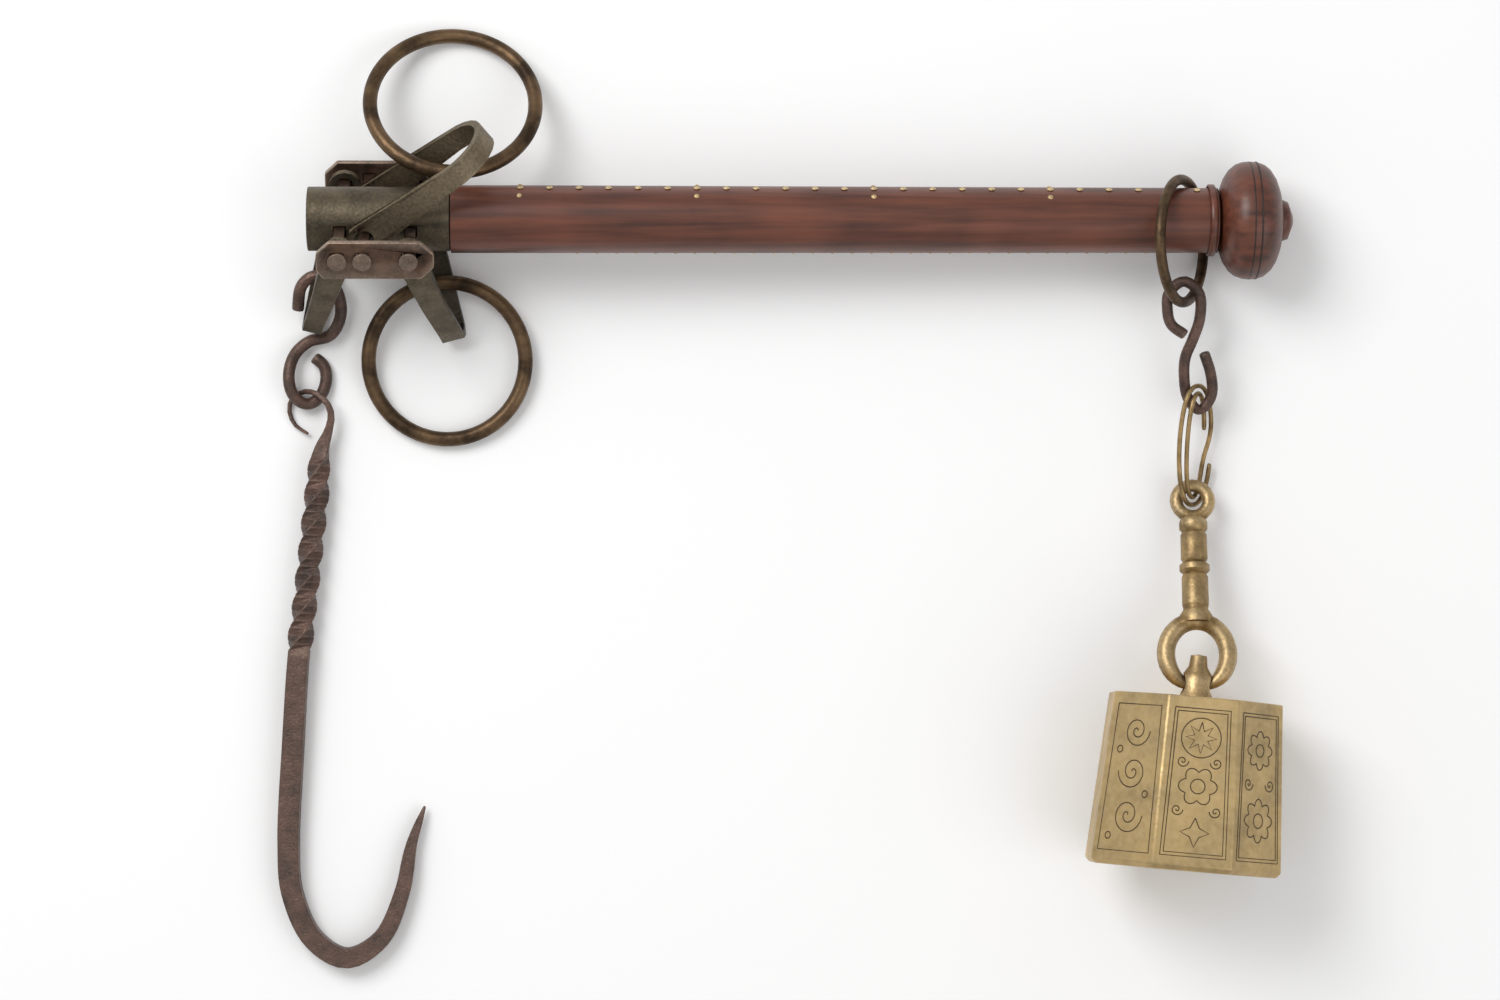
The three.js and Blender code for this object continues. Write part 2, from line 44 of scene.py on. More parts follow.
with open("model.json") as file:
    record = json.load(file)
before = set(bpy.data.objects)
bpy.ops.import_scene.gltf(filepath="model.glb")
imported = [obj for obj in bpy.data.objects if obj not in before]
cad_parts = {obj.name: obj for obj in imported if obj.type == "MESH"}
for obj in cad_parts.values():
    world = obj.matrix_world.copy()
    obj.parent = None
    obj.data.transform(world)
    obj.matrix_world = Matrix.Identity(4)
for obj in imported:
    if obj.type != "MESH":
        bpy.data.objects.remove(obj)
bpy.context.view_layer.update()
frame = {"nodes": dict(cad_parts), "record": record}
BODY_OF = {node: body for body, nodes in frame["record"]["behaviour"]["bodies"].items() for node in nodes}
MM = 0.001

# Finishing of the built nodes
MERGE_DISTANCE = 0.01 * MM
FLAT_ANGLE = math.radians(1)
EDGE_SEGMENTS = 2

# Beam and its pins: distances run along the beam from the hand pivot, angles turn from +Y upwards
BEAM_START = 35.6 * MM
BEAM_END = 358.0 * MM
BEAM_NARROWING = 0.6 * MM
PIN_SEAT_RADIUS = 14.25 * MM
PIN_SUNK_SHARE = 0.55
PIN_SEGMENTS = 14
PIN_RINGS = 8
SCALE_ANGLE = math.radians(27)
SCALE_PIN_STEP = 12.37 * MM
FLANK_PIN_START = 64.6 * MM
FLANK_PIN_STEP = 6 * SCALE_PIN_STEP
FLANK_PIN_COUNT = 4
FAR_SCALE_ANGLE = math.radians(190)
FAR_PIN_START = 88.4 * MM
FAR_PIN_STEP = 8.27 * MM
FAR_PIN_SHARE = 0.8

# Turned band on the knob's neck and dark lines round the knob
HOOP_SIDES = 72
HOOP_CROWN_SHARE = 0.35
NECK_BAND_AT = 355.6 * MM
NECK_BAND_RADIUS = 14.3 * MM
NECK_BAND_WIDTH = 3.2 * MM
NECK_BAND_RISE = 0.9 * MM
KNOB_LINES_AT = (371.5 * MM, 374.5 * MM)
KNOB_LINE_RADIUS = 24.75 * MM
KNOB_LINE_WIDTH = 0.6 * MM
KNOB_LINE_RISE = 0.1 * MM

# Weight: how far its facets stand from its axis, and the place of its top from the hand pivot's foot
WEIGHT_TOP_APOTHEM = 35.1 * MM
WEIGHT_BASE_APOTHEM = 39.7 * MM
WEIGHT_HEIGHT = 72.0 * MM
WEIGHT_LEAN = math.radians(-5)
WEIGHT_TOP_PLACE = Vector((348.2, -201.4, 0)) * MM
WEIGHT_TABLE_GAP = 0.1 * MM

# Ornament on the weight
LINE_SUNK_SHARE = 0.3
CIRCLE_STEPS = 28
PETAL_STEPS = 14
PETAL_DEPTH = 0.28
SCROLL_STEPS = 40
STAR_WAIST = 0.45

# Stage, in metres; a lamp has its place, power and size
FLOOR_REACH = 4.0
FLOOR_COLOUR = (0.93, 0.93, 0.93, 1)
FLOOR_ROUGHNESS = 0.9
ROOM_STRENGTH = 0.55
LAMPS = {
    "key_lamp": ((-0.9, 0.9, 1.5), 22, 1.0),
    "fill_lamp": ((1.1, -0.6, 1.4), 7, 1.4),
}
CAMERA_OVER = (0.1611, -0.118)
SENSOR_WIDTH = 36
VIEW_DISTANCE = 1.89
VIEW_WIDTH = 0.63


def middle_of(node):
    """The centre of a built node's box."""
    low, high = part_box(node)
    return (low + high) / 2


def foot_of_hand_pivot():
    """The point on the table under the hand pivot."""
    place = middle_of("hand_pivot")
    place.z = 0.0
    return place


FOOT = foot_of_hand_pivot()


class SteelyardProperties(bpy.types.PropertyGroup):
    """Sizes and colours that a user may change."""

    pin_radius: FloatProperty(
        name="Pin radius", description="Radius of a scale pin", default=1.4 * MM, unit="LENGTH")
    flank_angle: FloatProperty(
        name="Flank angle", description="Turn from the scale line to a flank pin",
        default=math.radians(22), subtype="ANGLE")
    far_pin_count: IntProperty(
        name="Far pins", description="Pins of the second scale", default=31, min=1)
    line_radius: FloatProperty(
        name="Line radius", description="Radius of an ornament line on the weight",
        default=0.32 * MM, unit="LENGTH")
    wood_colour: FloatVectorProperty(
        name="Wood", description="Colour of the polished beam", subtype="COLOR", default=(0.1, 0.03, 0.016))
    brass_colour: FloatVectorProperty(
        name="Brass", description="Colour of the aged weight", subtype="COLOR", default=(0.56, 0.38, 0.15))
    camera_height: FloatProperty(
        name="Camera height", description="Height of the camera above the table",
        default=1.925, unit="LENGTH")


def add_object(name, data):
    """A new object in the scene."""
    item = bpy.data.objects.new(name, data)
    bpy.context.scene.collection.objects.link(item)
    return item


def add_node(tree, kind, place, **values):
    """A shader or geometry node with its plain settings."""
    node = tree.nodes.new(kind)
    node.location = place
    for name, value in values.items():
        setattr(node, name, value)
    return node


def set_inputs(node, values):
    """Fills a node's inputs by their names."""
    for name, value in values.items():
        node.inputs[name].default_value = value


def new_group(name, inputs, outputs):
    """A shader node group with named inputs and outputs."""
    tree = bpy.data.node_groups.new(name, "ShaderNodeTree")
    for label, kind, default in inputs:
        socket = tree.interface.new_socket(name=label, in_out="INPUT", socket_type=kind)
        socket.default_value = default
    for label, kind in outputs:
        tree.interface.new_socket(name=label, in_out="OUTPUT", socket_type=kind)
    start = add_node(tree, "NodeGroupInput", (-1200, 0))
    end = add_node(tree, "NodeGroupOutput", (900, 0))
    return tree, start, end


def patina_group():
    """Mottled metal: two tones in clouds, a fine uneven surface, and bright edges that are partly rubbed
    wear and partly painted highlight.
    """
    tree, start, end = new_group(
        "Patina",
        [("Scale", "NodeSocketFloat", 120.0),
         ("Dark", "NodeSocketColor", (0.03, 0.025, 0.02, 1)),
         ("Light", "NodeSocketColor", (0.2, 0.15, 0.1, 1)),
         ("Edge wear and highlight", "NodeSocketColor", (0.5, 0.4, 0.3, 1)),
         ("Edge wear and highlight amount", "NodeSocketFloat", 0.5)],
        [("Color", "NodeSocketColor"), ("Roughness", "NodeSocketFloat"), ("Height", "NodeSocketFloat")])
    fine_to_cloud = 9
    link = tree.links.new
    place = add_node(tree, "ShaderNodeTexCoord", (-1200, 300))
    cloud = add_node(tree, "ShaderNodeTexNoise", (-900, 200))
    set_inputs(cloud, {"Detail": 8, "Roughness": 0.62})
    link(place.outputs["Object"], cloud.inputs["Vector"])
    link(start.outputs["Scale"], cloud.inputs["Scale"])
    fine_scale = add_node(tree, "ShaderNodeMath", (-1100, -100), operation="MULTIPLY")
    fine_scale.inputs[1].default_value = fine_to_cloud
    link(start.outputs["Scale"], fine_scale.inputs[0])
    fine = add_node(tree, "ShaderNodeTexNoise", (-900, -100))
    set_inputs(fine, {"Detail": 5})
    link(place.outputs["Object"], fine.inputs["Vector"])
    link(fine_scale.outputs[0], fine.inputs["Scale"])
    spread = add_node(tree, "ShaderNodeMapRange", (-650, 200))
    set_inputs(spread, {"From Min": 0.36, "From Max": 0.66})
    link(cloud.outputs["Fac"], spread.inputs["Value"])
    tone = add_node(tree, "ShaderNodeMix", (-400, 200), data_type="RGBA")
    link(spread.outputs["Result"], tone.inputs["Factor"])
    link(start.outputs["Dark"], tone.inputs["A"])
    link(start.outputs["Light"], tone.inputs["B"])
    # Painted highlight and rubbed wear: sharp convex edges are lightened in the colour itself, whatever the
    # lamps do.
    shape = add_node(tree, "ShaderNodeNewGeometry", (-900, -400))
    edge = add_node(tree, "ShaderNodeMapRange", (-650, -400))
    set_inputs(edge, {"From Min": 0.51, "From Max": 0.6})
    link(shape.outputs["Pointiness"], edge.inputs["Value"])
    broken = add_node(tree, "ShaderNodeMath", (-450, -400), operation="MULTIPLY")
    link(edge.outputs["Result"], broken.inputs[0])
    link(fine.outputs["Fac"], broken.inputs[1])
    amount = add_node(tree, "ShaderNodeMath", (-250, -400), operation="MULTIPLY", use_clamp=True)
    link(broken.outputs[0], amount.inputs[0])
    link(start.outputs["Edge wear and highlight amount"], amount.inputs[1])
    edge_wear_and_highlight = add_node(tree, "ShaderNodeMix", (0, 200), data_type="RGBA")
    link(amount.outputs[0], edge_wear_and_highlight.inputs["Factor"])
    link(tone.outputs["Result"], edge_wear_and_highlight.inputs["A"])
    link(start.outputs["Edge wear and highlight"], edge_wear_and_highlight.inputs["B"])
    rough = add_node(tree, "ShaderNodeMapRange", (0, -100))
    set_inputs(rough, {"To Min": 0.62, "To Max": 0.3})
    link(cloud.outputs["Fac"], rough.inputs["Value"])
    height = add_node(tree, "ShaderNodeMath", (0, -300), operation="ADD")
    link(fine.outputs["Fac"], height.inputs[0])
    link(cloud.outputs["Fac"], height.inputs[1])
    link(edge_wear_and_highlight.outputs["Result"], end.inputs["Color"])
    link(rough.outputs["Result"], end.inputs["Roughness"])
    link(height.outputs[0], end.inputs["Height"])


def shader_of(name, metallic, depth):
    """A new material's node tree, with its Principled shader and its Bump node of a given depth."""
    material = bpy.data.materials.new(name)
    material.use_nodes = True
    tree = material.node_tree
    shader = tree.nodes["Principled BSDF"]
    set_inputs(shader, {"Metallic": metallic})
    bump = add_node(tree, "ShaderNodeBump", (-250, -250))
    set_inputs(bump, {"Strength": 0.5, "Distance": depth})
    tree.links.new(bump.outputs["Normal"], shader.inputs["Normal"])
    return tree, shader, bump


def metal(name, dark, light, edge_wear_and_highlight, scale, edge_wear_and_highlight_amount, metallic, depth):
    """A metal finish from the patina group, whose pale edges are partly rubbed wear and partly painted
    highlight.
    """
    tree, shader, bump = shader_of(name, metallic, depth)
    group = add_node(tree, "ShaderNodeGroup", (-550, 0), node_tree=bpy.data.node_groups["Patina"])
    set_inputs(group, {"Scale": scale, "Dark": (*dark, 1), "Light": (*light, 1), "Edge wear and highlight": (*edge_wear_and_highlight, 1),
                       "Edge wear and highlight amount": edge_wear_and_highlight_amount})
    tree.links.new(group.outputs["Color"], shader.inputs["Base Color"])
    tree.links.new(group.outputs["Roughness"], shader.inputs["Roughness"])
    tree.links.new(group.outputs["Height"], bump.inputs["Height"])


def wood(colour):
    """Dark polished wood with its grain along the beam."""
    dark_share = 0.38
    light_share = 1.75
    tree, shader, bump = shader_of("Beam wood", 0.0, 0.3 * MM)
    place = add_node(tree, "ShaderNodeTexCoord", (-1100, 0))
    stretch = add_node(tree, "ShaderNodeMapping", (-900, 0))
    set_inputs(stretch, {"Scale": (12, 260, 260)})
    grain = add_node(tree, "ShaderNodeTexNoise", (-700, 0))
    set_inputs(grain, {"Scale": 1.0, "Detail": 9})
    cloud = add_node(tree, "ShaderNodeTexNoise", (-700, -300))
    set_inputs(cloud, {"Scale": 28, "Detail": 4})
    tone = add_node(tree, "ShaderNodeValToRGB", (-450, 0))
    dark_stop, light_stop = tone.color_ramp.elements
    dark_stop.position = 0.34
    dark_stop.color = (*[value * dark_share for value in colour], 1)
    light_stop.position = 0.68
    light_stop.color = (*[min(1, value * light_share) for value in colour], 1)
    mixed = add_node(tree, "ShaderNodeMix", (-560, -200), data_type="FLOAT")
    set_inputs(mixed, {"Factor": 0.4})
    rough = add_node(tree, "ShaderNodeMapRange", (-300, -100))
    set_inputs(rough, {"To Min": 0.5, "To Max": 0.28})
    link = tree.links.new
    link(place.outputs["Object"], stretch.inputs["Vector"])
    link(stretch.outputs["Vector"], grain.inputs["Vector"])
    link(place.outputs["Object"], cloud.inputs["Vector"])
    link(grain.outputs["Fac"], mixed.inputs["A"])
    link(cloud.outputs["Fac"], mixed.inputs["B"])
    link(mixed.outputs["Result"], tone.inputs["Fac"])
    link(tone.outputs["Color"], shader.inputs["Base Color"])
    link(cloud.outputs["Fac"], rough.inputs["Value"])
    link(rough.outputs["Result"], shader.inputs["Roughness"])
    link(grain.outputs["Fac"], bump.inputs["Height"])


def make_materials(sizes):
    """Every finish, made once."""
    brass = tuple(sizes.brass_colour)
    dark_brass = tuple(value * 0.5 for value in brass)
    patina_group()
    wood(tuple(sizes.wood_colour))
    metal("Sleeve patina", dark=(0.018, 0.016, 0.012), light=(0.085, 0.068, 0.045), edge_wear_and_highlight=(0.32, 0.25, 0.16),
          scale=90, edge_wear_and_highlight_amount=0.9, metallic=0.75, depth=0.3 * MM)
    # The cheeks' strong pale edge colour is partly rubbed wear and partly painted highlight on their
    # chamfers.
    metal("Cheek iron", dark=(0.035, 0.022, 0.016), light=(0.17, 0.1, 0.068), edge_wear_and_highlight=(0.6, 0.48, 0.38),
          scale=80, edge_wear_and_highlight_amount=1.4, metallic=0.8, depth=0.3 * MM)
    metal("Forged iron", dark=(0.022, 0.013, 0.011), light=(0.115, 0.062, 0.046), edge_wear_and_highlight=(0.34, 0.24, 0.19),
          scale=110, edge_wear_and_highlight_amount=1.0, metallic=0.55, depth=0.7 * MM)
    metal("Turned groove", dark=(0.008, 0.004, 0.003), light=(0.02, 0.009, 0.006), edge_wear_and_highlight=(0.05, 0.02, 0.012),
          scale=200, edge_wear_and_highlight_amount=0.2, metallic=0.0, depth=0.1 * MM)
    metal("Ring bronze", dark=(0.04, 0.024, 0.013), light=(0.17, 0.105, 0.055), edge_wear_and_highlight=(0.5, 0.36, 0.2),
          scale=70, edge_wear_and_highlight_amount=1.0, metallic=0.8, depth=0.3 * MM)
    metal("Hanger brass", dark=(0.12, 0.075, 0.03), light=(0.4, 0.27, 0.12), edge_wear_and_highlight=(0.8, 0.62, 0.36),
          scale=90, edge_wear_and_highlight_amount=0.9, metallic=0.9, depth=0.3 * MM)
    metal("Weight brass", dark=dark_brass, light=brass, edge_wear_and_highlight=(0.85, 0.7, 0.45),
          scale=42, edge_wear_and_highlight_amount=1.0, metallic=0.85, depth=0.4 * MM)
    metal("Ornament line", dark=(0.03, 0.02, 0.01), light=(0.09, 0.06, 0.03), edge_wear_and_highlight=(0.2, 0.14, 0.07),
          scale=300, edge_wear_and_highlight_amount=0.4, metallic=0.6, depth=0.1 * MM)
    metal("Pin brass", dark=(0.3, 0.2, 0.08), light=(0.75, 0.55, 0.28), edge_wear_and_highlight=(0.95, 0.8, 0.5),
          scale=300, edge_wear_and_highlight_amount=0.6, metallic=0.9, depth=0.1 * MM)


def mesh_of(name, shape, material):
    """A mesh in one finish from an edited shape, which is then freed."""
    mesh = bpy.data.meshes.new(name)
    shape.to_mesh(mesh)
    shape.free()
    mesh.materials.clear()
    mesh.materials.append(bpy.data.materials[material])
    return mesh


def apply_modifiers(piece):
    """Turns a piece and its modifiers into plain mesh."""
    evaluated = piece.evaluated_get(bpy.context.evaluated_depsgraph_get())
    solid = bpy.data.meshes.new_from_object(evaluated)
    piece.modifiers.clear()
    old = piece.data
    piece.data = solid
    bpy.data.meshes.remove(old)


def place_piece(piece, body, slot, *nodes):
    """Rides a piece on its body and hides the built nodes that it stands for."""
    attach(piece, body)
    if nodes:
        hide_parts(*nodes)


def smooth_copy(node, sharp_angle, flat_sided):
    """A built node's shape, smooth but for the edges sharper than an angle."""
    shape = bmesh.new()
    shape.from_mesh(frame["nodes"][node].data)
    bmesh.ops.remove_doubles(shape, verts=shape.verts, dist=MERGE_DISTANCE)
    if flat_sided:
        bmesh.ops.dissolve_limit(shape, angle_limit=FLAT_ANGLE, verts=shape.verts, edges=shape.edges)
    for face in shape.faces:
        face.smooth = True
    for edge in shape.edges:
        edge.smooth = edge.is_manifold and edge.calc_face_angle(0) < sharp_angle
    return shape


def dress(node, material, slot, angle=40, levels=0, bevel=0.0, flat_sided=False):
    """A finished copy of a built node, which stands for it."""
    sharp_angle = math.radians(angle)
    name = "finished_" + node
    piece = add_object(name, mesh_of(name, smooth_copy(node, sharp_angle, flat_sided), material))
    if bevel:
        rounded = piece.modifiers.new("Rounded edges", "BEVEL")
        rounded.width = bevel
        rounded.segments = EDGE_SEGMENTS
        rounded.limit_method = "ANGLE"
        rounded.angle_limit = sharp_angle
    if levels:
        smooth = piece.modifiers.new("Smooth", "SUBSURF")
        smooth.levels = levels
        smooth.render_levels = levels
    if piece.modifiers:
        apply_modifiers(piece)
        for face in piece.data.polygons:
            face.use_smooth = True
    place_piece(piece, BODY_OF[node], slot, node)


def beam_axis():
    """The hand pivot's centre, and the direction from there down to the knob."""
    start = middle_of("hand_pivot")
    return start, (middle_of("end_knob") - start).normalized()


def pin_row_tree():
    """Geometry nodes that set round pins along a straight line."""
    tree = bpy.data.node_groups.new("Pin row", "GeometryNodeTree")
    inputs = {"Count": "NodeSocketInt", "Start": "NodeSocketVector", "Step": "NodeSocketVector",
              "Radius": "NodeSocketFloat", "Finish": "NodeSocketMaterial"}
    for label, kind in inputs.items():
        tree.interface.new_socket(name=label, in_out="INPUT", socket_type=kind)
    tree.interface.new_socket(name="Geometry", in_out="OUTPUT", socket_type="NodeSocketGeometry")
    start = add_node(tree, "NodeGroupInput", (-800, 0))
    end = add_node(tree, "NodeGroupOutput", (600, 0))
    line = add_node(tree, "GeometryNodeMeshLine", (-500, 100), mode="OFFSET")
    ball = add_node(tree, "GeometryNodeMeshUVSphere", (-500, -200))
    set_inputs(ball, {"Segments": PIN_SEGMENTS, "Rings": PIN_RINGS})
    smooth = add_node(tree, "GeometryNodeSetShadeSmooth", (-300, -200))
    put = add_node(tree, "GeometryNodeInstanceOnPoints", (-100, 0))
    real = add_node(tree, "GeometryNodeRealizeInstances", (100, 0))
    finish = add_node(tree, "GeometryNodeSetMaterial", (300, 0))
    link = tree.links.new
    link(start.outputs["Count"], line.inputs["Count"])
    link(start.outputs["Start"], line.inputs["Start Location"])
    link(start.outputs["Step"], line.inputs["Offset"])
    link(start.outputs["Radius"], ball.inputs["Radius"])
    link(ball.outputs["Mesh"], smooth.inputs["Geometry"])
    link(line.outputs["Mesh"], put.inputs["Points"])
    link(smooth.outputs["Geometry"], put.inputs["Instance"])
    link(put.outputs["Instances"], real.inputs["Geometry"])
    link(real.outputs["Geometry"], finish.inputs["Geometry"])
    link(start.outputs["Finish"], finish.inputs["Material"])
    link(finish.outputs["Geometry"], end.inputs["Geometry"])
    return tree


def pin_row(name, first, step, count, angle, radius):
    """One row of pins along the beam, part sunk in the wood."""
    start, along = beam_axis()
    side = Vector((0, math.cos(angle), math.sin(angle)))
    taper = -BEAM_NARROWING / (BEAM_END - BEAM_START)
    reach = PIN_SEAT_RADIUS + taper * (first - BEAM_START) - PIN_SUNK_SHARE * radius
    values = {
        "Count": count,
        "Start": start + along * first + side * reach,
        "Step": along * step + side * (taper * step),
        "Radius": radius,
        "Finish": bpy.data.materials["Pin brass"],
    }
    piece = add_object(name, bpy.data.meshes.new(name))
    tree = bpy.data.node_groups.get("Pin row") or pin_row_tree()
    row = piece.modifiers.new("Pin row", "NODES")
    row.node_group = tree
    for item in tree.interface.items_tree:
        if item.in_out == "INPUT":
            row[item.identifier] = values[item.name]
    apply_modifiers(piece)
    place_piece(piece, "beam", "brass")


def hoop(name, at, radius, width, rise, material):
    """A turned band round the beam or its knob, at a distance along the beam."""
    start, along = beam_axis()
    turn = along.to_track_quat("Z", "Y").to_matrix()
    crown = width * HOOP_CROWN_SHARE
    profile = [(-width / 2, 0), (-crown, rise), (crown, rise), (width / 2, 0), (0, -rise)]
    shape = bmesh.new()
    rings = []
    for step in range(HOOP_SIDES):
        angle = 2 * math.pi * step / HOOP_SIDES
        ring = []
        for shift, lift in profile:
            reach = radius + lift
            local = Vector((reach * math.cos(angle), reach * math.sin(angle), at + shift))
            ring.append(shape.verts.new(start + turn @ local))
        rings.append(ring)
    for one, two in zip(rings, rings[1:] + rings[:1]):
        for corner in range(len(profile)):
            other = (corner + 1) % len(profile)
            shape.faces.new((one[corner], two[corner], two[other], one[other])).smooth = True
    bmesh.ops.recalc_face_normals(shape, faces=shape.faces)
    place_piece(add_object(name, mesh_of(name, shape, material)), "beam", "wood")


def facet_place(turn, across, down, lift):
    """A place on the weight's facet at a turn: across it, down from the top, and lifted off it."""
    widening = (WEIGHT_BASE_APOTHEM - WEIGHT_TOP_APOTHEM) / WEIGHT_HEIGHT
    tilt = -math.atan(widening)
    spin = Matrix.Rotation(WEIGHT_LEAN, 3, "Z") @ Matrix.Rotation(tilt, 3, "X")
    out = Vector((math.sin(turn), 0, math.cos(turn)))
    side = Vector((math.cos(turn), 0, -math.sin(turn)))
    local = out * (WEIGHT_TOP_APOTHEM + widening * down + lift) + side * across + Vector((0, -down, 0))
    top_height = WEIGHT_TOP_APOTHEM * math.cos(tilt) + WEIGHT_TABLE_GAP
    return FOOT + WEIGHT_TOP_PLACE + Vector((0, 0, top_height)) + spin @ local


def round_line(centre, reach_at, steps, turns=1.0, way=1):
    """Points round a centre, at the distance that reach_at gives for each share of the way."""
    across, down = centre
    points = []
    for step in range(steps + 1):
        angle = 2 * math.pi * turns * step / steps
        reach = reach_at(step / steps)
        points.append((across + way * reach * math.cos(angle), down + reach * math.sin(angle)))
    return points


def circle(centre, radius):
    """A ring."""
    return round_line(centre, lambda share: radius, CIRCLE_STEPS)


def rosette(centre, radius, petals):
    """The outline of a flower."""
    def reach_at(share):
        return radius * (1 - PETAL_DEPTH + PETAL_DEPTH * abs(math.cos(petals * math.pi * share)))

    return round_line(centre, reach_at, petals * PETAL_STEPS)


def star(centre, radius, points):
    """A star with one point towards the top of the weight."""
    across, down = centre
    outline = []
    for step in range(2 * points + 1):
        reach = radius if step % 2 == 0 else radius * STAR_WAIST
        angle = math.pi * step / points
        outline.append((across + reach * math.sin(angle), down - reach * math.cos(angle)))
    return outline


def scroll(centre, radius, way, turns=1.6):
    """A spiral that winds in and stops just short of its centre."""
    return round_line(centre, lambda share: radius * (1 - share), SCROLL_STEPS, turns, way)[:-1]


def scroll_pair(across, down, radius):
    """Two scrolls that mirror each other on the facet."""
    return [scroll((-across, down), radius, 1), scroll((across, down), radius, -1)]


def border(top_half, base_half, top, base):
    """A closed line that widens with the facet."""
    return [(-top_half, top), (top_half, top), (base_half, base), (-base_half, base), (-top_half, top)]


def ornament_lines():
    """The lines on three facets, by the facet's turn, as (across, down) in millimetres."""
    outer = border(top_half=11.5, base_half=13.6, top=5, base=66)
    inner = border(top_half=10.3, base_half=12.2, top=6.4, base=64.6)
    middle = [
        outer, inner,
        star((0, 17), radius=6.5, points=8), circle((0, 17), radius=8.2),
        rosette((0, 37), radius=8, petals=6), circle((0, 37), radius=3),
        star((0, 56), radius=6, points=4),
        *scroll_pair(7, 27, radius=2.6), *scroll_pair(8, 47, radius=2.6),
    ]
    left = [
        outer,
        scroll((0, 16), radius=7, way=1, turns=2), scroll((0, 33), radius=7.5, way=-1, turns=2),
        scroll((0, 51), radius=8, way=1, turns=2),
        circle((-8, 24), radius=1.4), circle((8, 42), radius=1.4), circle((-9, 60), radius=1.4),
    ]
    right = [
        outer, inner,
        rosette((0, 20), radius=8, petals=8), circle((0, 20), radius=2.6),
        rosette((0, 49), radius=9, petals=8), circle((0, 49), radius=3),
        *scroll_pair(7, 34, radius=3),
    ]
    return {0.0: middle, -math.pi / 4: left, math.pi / 4: right}


def ornament(radius):
    """The ornament lines of the weight as thin rods let into its facets."""
    curve = bpy.data.curves.new("weight_ornament", "CURVE")
    curve.dimensions = "3D"
    curve.bevel_depth = radius
    curve.bevel_resolution = 1
    curve.use_fill_caps = True
    for turn, lines in ornament_lines().items():
        for line in lines:
            spline = curve.splines.new("POLY")
            spline.points.add(len(line) - 1)
            for point, (across, down) in zip(spline.points, line):
                place = facet_place(turn, across * MM, down * MM, -LINE_SUNK_SHARE * radius)
                point.co = (*place, 1)
    rods = add_object("weight_ornament_curve", curve)
    mesh = bpy.data.meshes.new_from_object(rods.evaluated_get(bpy.context.evaluated_depsgraph_get()))
    bpy.data.objects.remove(rods)
    mesh.materials.clear()
    mesh.materials.append(bpy.data.materials["Ornament line"])
    place_piece(add_object("weight_ornament", mesh), "weight", "brass")


def floor_plane():
    """The pale table, which is stage and no part of the object."""
    mesh = bpy.data.meshes.new("floor")
    reach = FLOOR_REACH
    corners = [(-reach, -reach, 0), (reach, -reach, 0), (reach, reach, 0), (-reach, reach, 0)]
    mesh.from_pydata(corners, [], [(0, 1, 2, 3)])
    floor = add_object("floor", mesh)
    material = bpy.data.materials.new("Floor")
    material.use_nodes = True
    set_inputs(material.node_tree.nodes["Principled BSDF"],
               {"Base Color": FLOOR_COLOUR, "Roughness": FLOOR_ROUGHNESS})
    mesh.materials.append(material)


def soft_room(scene):
    """Even white light from all round."""
    world = bpy.data.worlds.new("Soft room")
    world.use_nodes = True
    set_inputs(world.node_tree.nodes["Background"], {"Color": (1, 1, 1, 1), "Strength": ROOM_STRENGTH})
    scene.world = world


def area_lamp(name, place, power, size):
    """A square lamp turned towards the middle of the table."""
    lamp = bpy.data.lights.new(name, "AREA")
    lamp.energy = power
    lamp.size = size
    holder = add_object(name, lamp)
    holder.location = place
    holder.rotation_euler = (-Vector(place)).to_track_quat("-Z", "Y").to_euler()


def camera_above(scene, height):
    """The camera that looks straight down on the object."""
    lens = bpy.data.cameras.new("camera")
    lens.sensor_width = SENSOR_WIDTH
    lens.lens = SENSOR_WIDTH * VIEW_DISTANCE / VIEW_WIDTH
    camera = add_object("camera", lens)
    camera.location = FOOT + Vector((*CAMERA_OVER, height))
    scene.camera = camera


class STEELYARD_OT_stage(bpy.types.Operator):
    """Make the floor, the lamps and the camera."""

    bl_idname = "steelyard.stage"
    bl_label = "Stage"

    def execute(self, context):
        scene = context.scene
        scene.view_settings.view_transform = "Standard"
        floor_plane()
        soft_room(scene)
        for name, (place, power, size) in LAMPS.items():
            area_lamp(name, place, power, size)
        camera_above(scene, scene.steelyard.camera_height)
        return {"FINISHED"}


class STEELYARD_OT_beam(bpy.types.Operator):
    """Make the polished beam and its knob."""

    bl_idname = "steelyard.beam"
    bl_label = "Beam and knob"

    def execute(self, context):
        dress("beam_rod", "Beam wood", "wood", angle=30, bevel=0.3 * MM)
        dress("end_knob", "Beam wood", "wood", angle=50)
        hoop("knob_band_inner", NECK_BAND_AT, NECK_BAND_RADIUS, NECK_BAND_WIDTH, NECK_BAND_RISE, "Beam wood")
        for number, at in enumerate(KNOB_LINES_AT, start=1):
            name = "knob_groove_%d" % number
            hoop(name, at, KNOB_LINE_RADIUS, KNOB_LINE_WIDTH, KNOB_LINE_RISE, "Turned groove")
        return {"FINISHED"}


class STEELYARD_OT_head(bpy.types.Operator):
    """Make the sleeve, the cheeks and the three pivots."""

    bl_idname = "steelyard.head"
    bl_label = "Head"

    def execute(self, context):
        dress("head_sleeve", "Sleeve patina", "dark_iron", bevel=0.4 * MM)
        for cheek in ("front_cheek", "back_cheek"):
            dress(cheek, "Cheek iron", "worn_iron", bevel=0.6 * MM)
        for pivot in ("load_pivot", "hand_pivot", "second_pivot"):
            dress(pivot, "Cheek iron", "worn_iron", bevel=0.3 * MM)
        return {"FINISHED"}


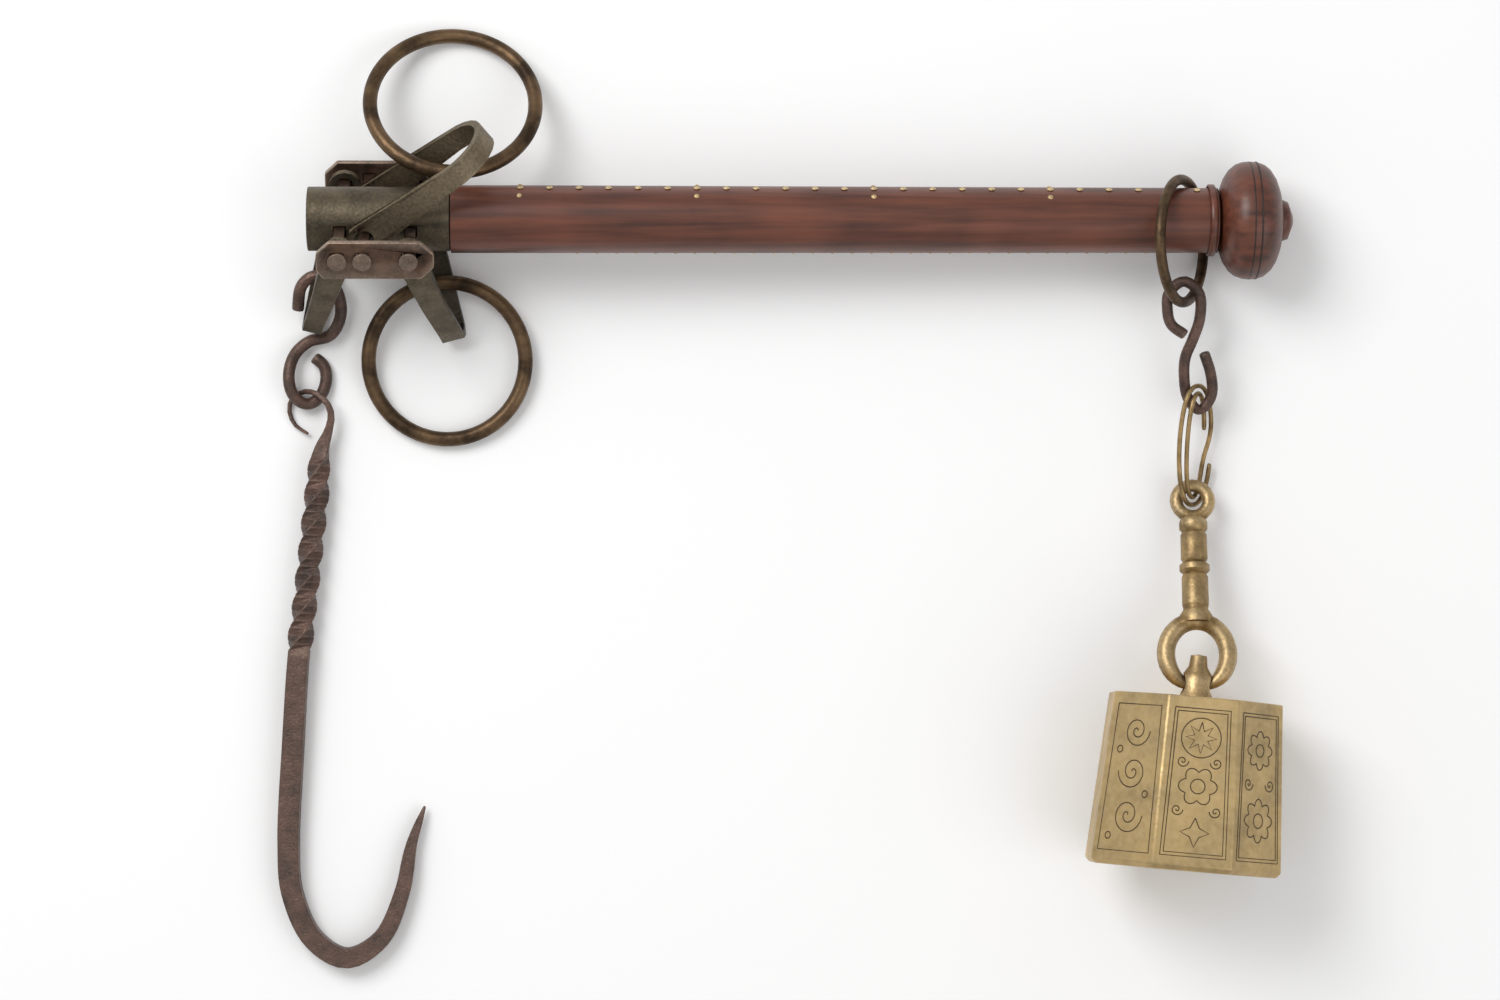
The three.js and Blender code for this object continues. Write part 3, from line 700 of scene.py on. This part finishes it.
class STEELYARD_OT_shackles(bpy.types.Operator):
    """Make the three strap shackles."""

    bl_idname = "steelyard.shackles"
    bl_label = "Shackles"

    def execute(self, context):
        for shackle in ("load_shackle", "upper_shackle", "lower_shackle"):
            dress(shackle, "Sleeve patina", "dark_iron", angle=48, bevel=0.4 * MM)
        return {"FINISHED"}


class STEELYARD_OT_rings(bpy.types.Operator):
    """Make the hand rings and the ring on the beam."""

    bl_idname = "steelyard.rings"
    bl_label = "Rings"

    def execute(self, context):
        for ring in ("upper_ring", "lower_ring", "poise_ring"):
            dress(ring, "Ring bronze", "bronze", angle=60, levels=2)
        return {"FINISHED"}


class STEELYARD_OT_ironwork(bpy.types.Operator):
    """Make the iron link, the load hook, the small hook and the wire."""

    bl_idname = "steelyard.ironwork"
    bl_label = "Hooks, link and wire"

    def execute(self, context):
        dress("load_link", "Forged iron", "worn_iron", angle=60, levels=1)
        dress("load_hook", "Forged iron", "worn_iron", angle=50, bevel=0.6 * MM)
        dress("poise_hook", "Forged iron", "worn_iron", angle=60, levels=1)
        dress("wire_link", "Hanger brass", "brass", angle=75, levels=1)
        return {"FINISHED"}


class STEELYARD_OT_weight(bpy.types.Operator):
    """Make the hanger, the finial and the ornamented weight."""

    bl_idname = "steelyard.weight"
    bl_label = "Weight"

    def execute(self, context):
        dress("hanger", "Hanger brass", "brass", angle=48)
        dress("weight_eye", "Hanger brass", "brass", angle=35)
        dress("weight_body", "Weight brass", "brass", angle=20, bevel=1.1 * MM, flat_sided=True)
        ornament(context.scene.steelyard.line_radius)
        return {"FINISHED"}


class STEELYARD_OT_pins(bpy.types.Operator):
    """Finish the pins of the first scale, and make the flank pins and the second scale."""

    bl_idname = "steelyard.pins"
    bl_label = "Scale pins"

    def execute(self, context):
        sizes = context.scene.steelyard
        for name, node in frame["nodes"].items():
            if name.startswith("scale_pin_"):
                node.data.materials.clear()
                node.data.materials.append(bpy.data.materials["Pin brass"])
        flanks = {"upper": SCALE_ANGLE - sizes.flank_angle, "lower": SCALE_ANGLE + sizes.flank_angle}
        for side, angle in flanks.items():
            pin_row("flank_pins_" + side, FLANK_PIN_START, FLANK_PIN_STEP, FLANK_PIN_COUNT, angle,
                    sizes.pin_radius)
        pin_row("far_pins", FAR_PIN_START, FAR_PIN_STEP, sizes.far_pin_count, FAR_SCALE_ANGLE,
                sizes.pin_radius * FAR_PIN_SHARE)
        return {"FINISHED"}


class STEELYARD_PT_panel(bpy.types.Panel):
    """Lists the steelyard's operators and sizes."""

    bl_idname = "STEELYARD_PT_panel"
    bl_label = "Steelyard"
    bl_space_type = "VIEW_3D"
    bl_region_type = "UI"
    bl_category = "Steelyard"

    def draw(self, context):
        for operator in OPERATORS:
            self.layout.operator(operator.bl_idname)
        for name in SteelyardProperties.__annotations__:
            self.layout.prop(context.scene.steelyard, name)


OPERATORS = (
    STEELYARD_OT_stage, STEELYARD_OT_beam, STEELYARD_OT_head, STEELYARD_OT_shackles,
    STEELYARD_OT_rings, STEELYARD_OT_ironwork, STEELYARD_OT_weight, STEELYARD_OT_pins,
)
CLASSES = (SteelyardProperties, *OPERATORS, STEELYARD_PT_panel)


def register():
    """Adds the classes, and the steelyard's sizes to each scene."""
    for kind in CLASSES:
        bpy.utils.register_class(kind)
    bpy.types.Scene.steelyard = PointerProperty(type=SteelyardProperties)


def unregister():
    """Takes the sizes and the classes away again."""
    del bpy.types.Scene.steelyard
    for kind in reversed(CLASSES):
        bpy.utils.unregister_class(kind)


def main():
    """Makes the stage and every piece."""
    register()
    make_materials(bpy.context.scene.steelyard)
    for operator in OPERATORS:
        name = operator.bl_idname.split(".")[1]
        getattr(bpy.ops.steelyard, name)()


if __name__ == "__main__":
    main()
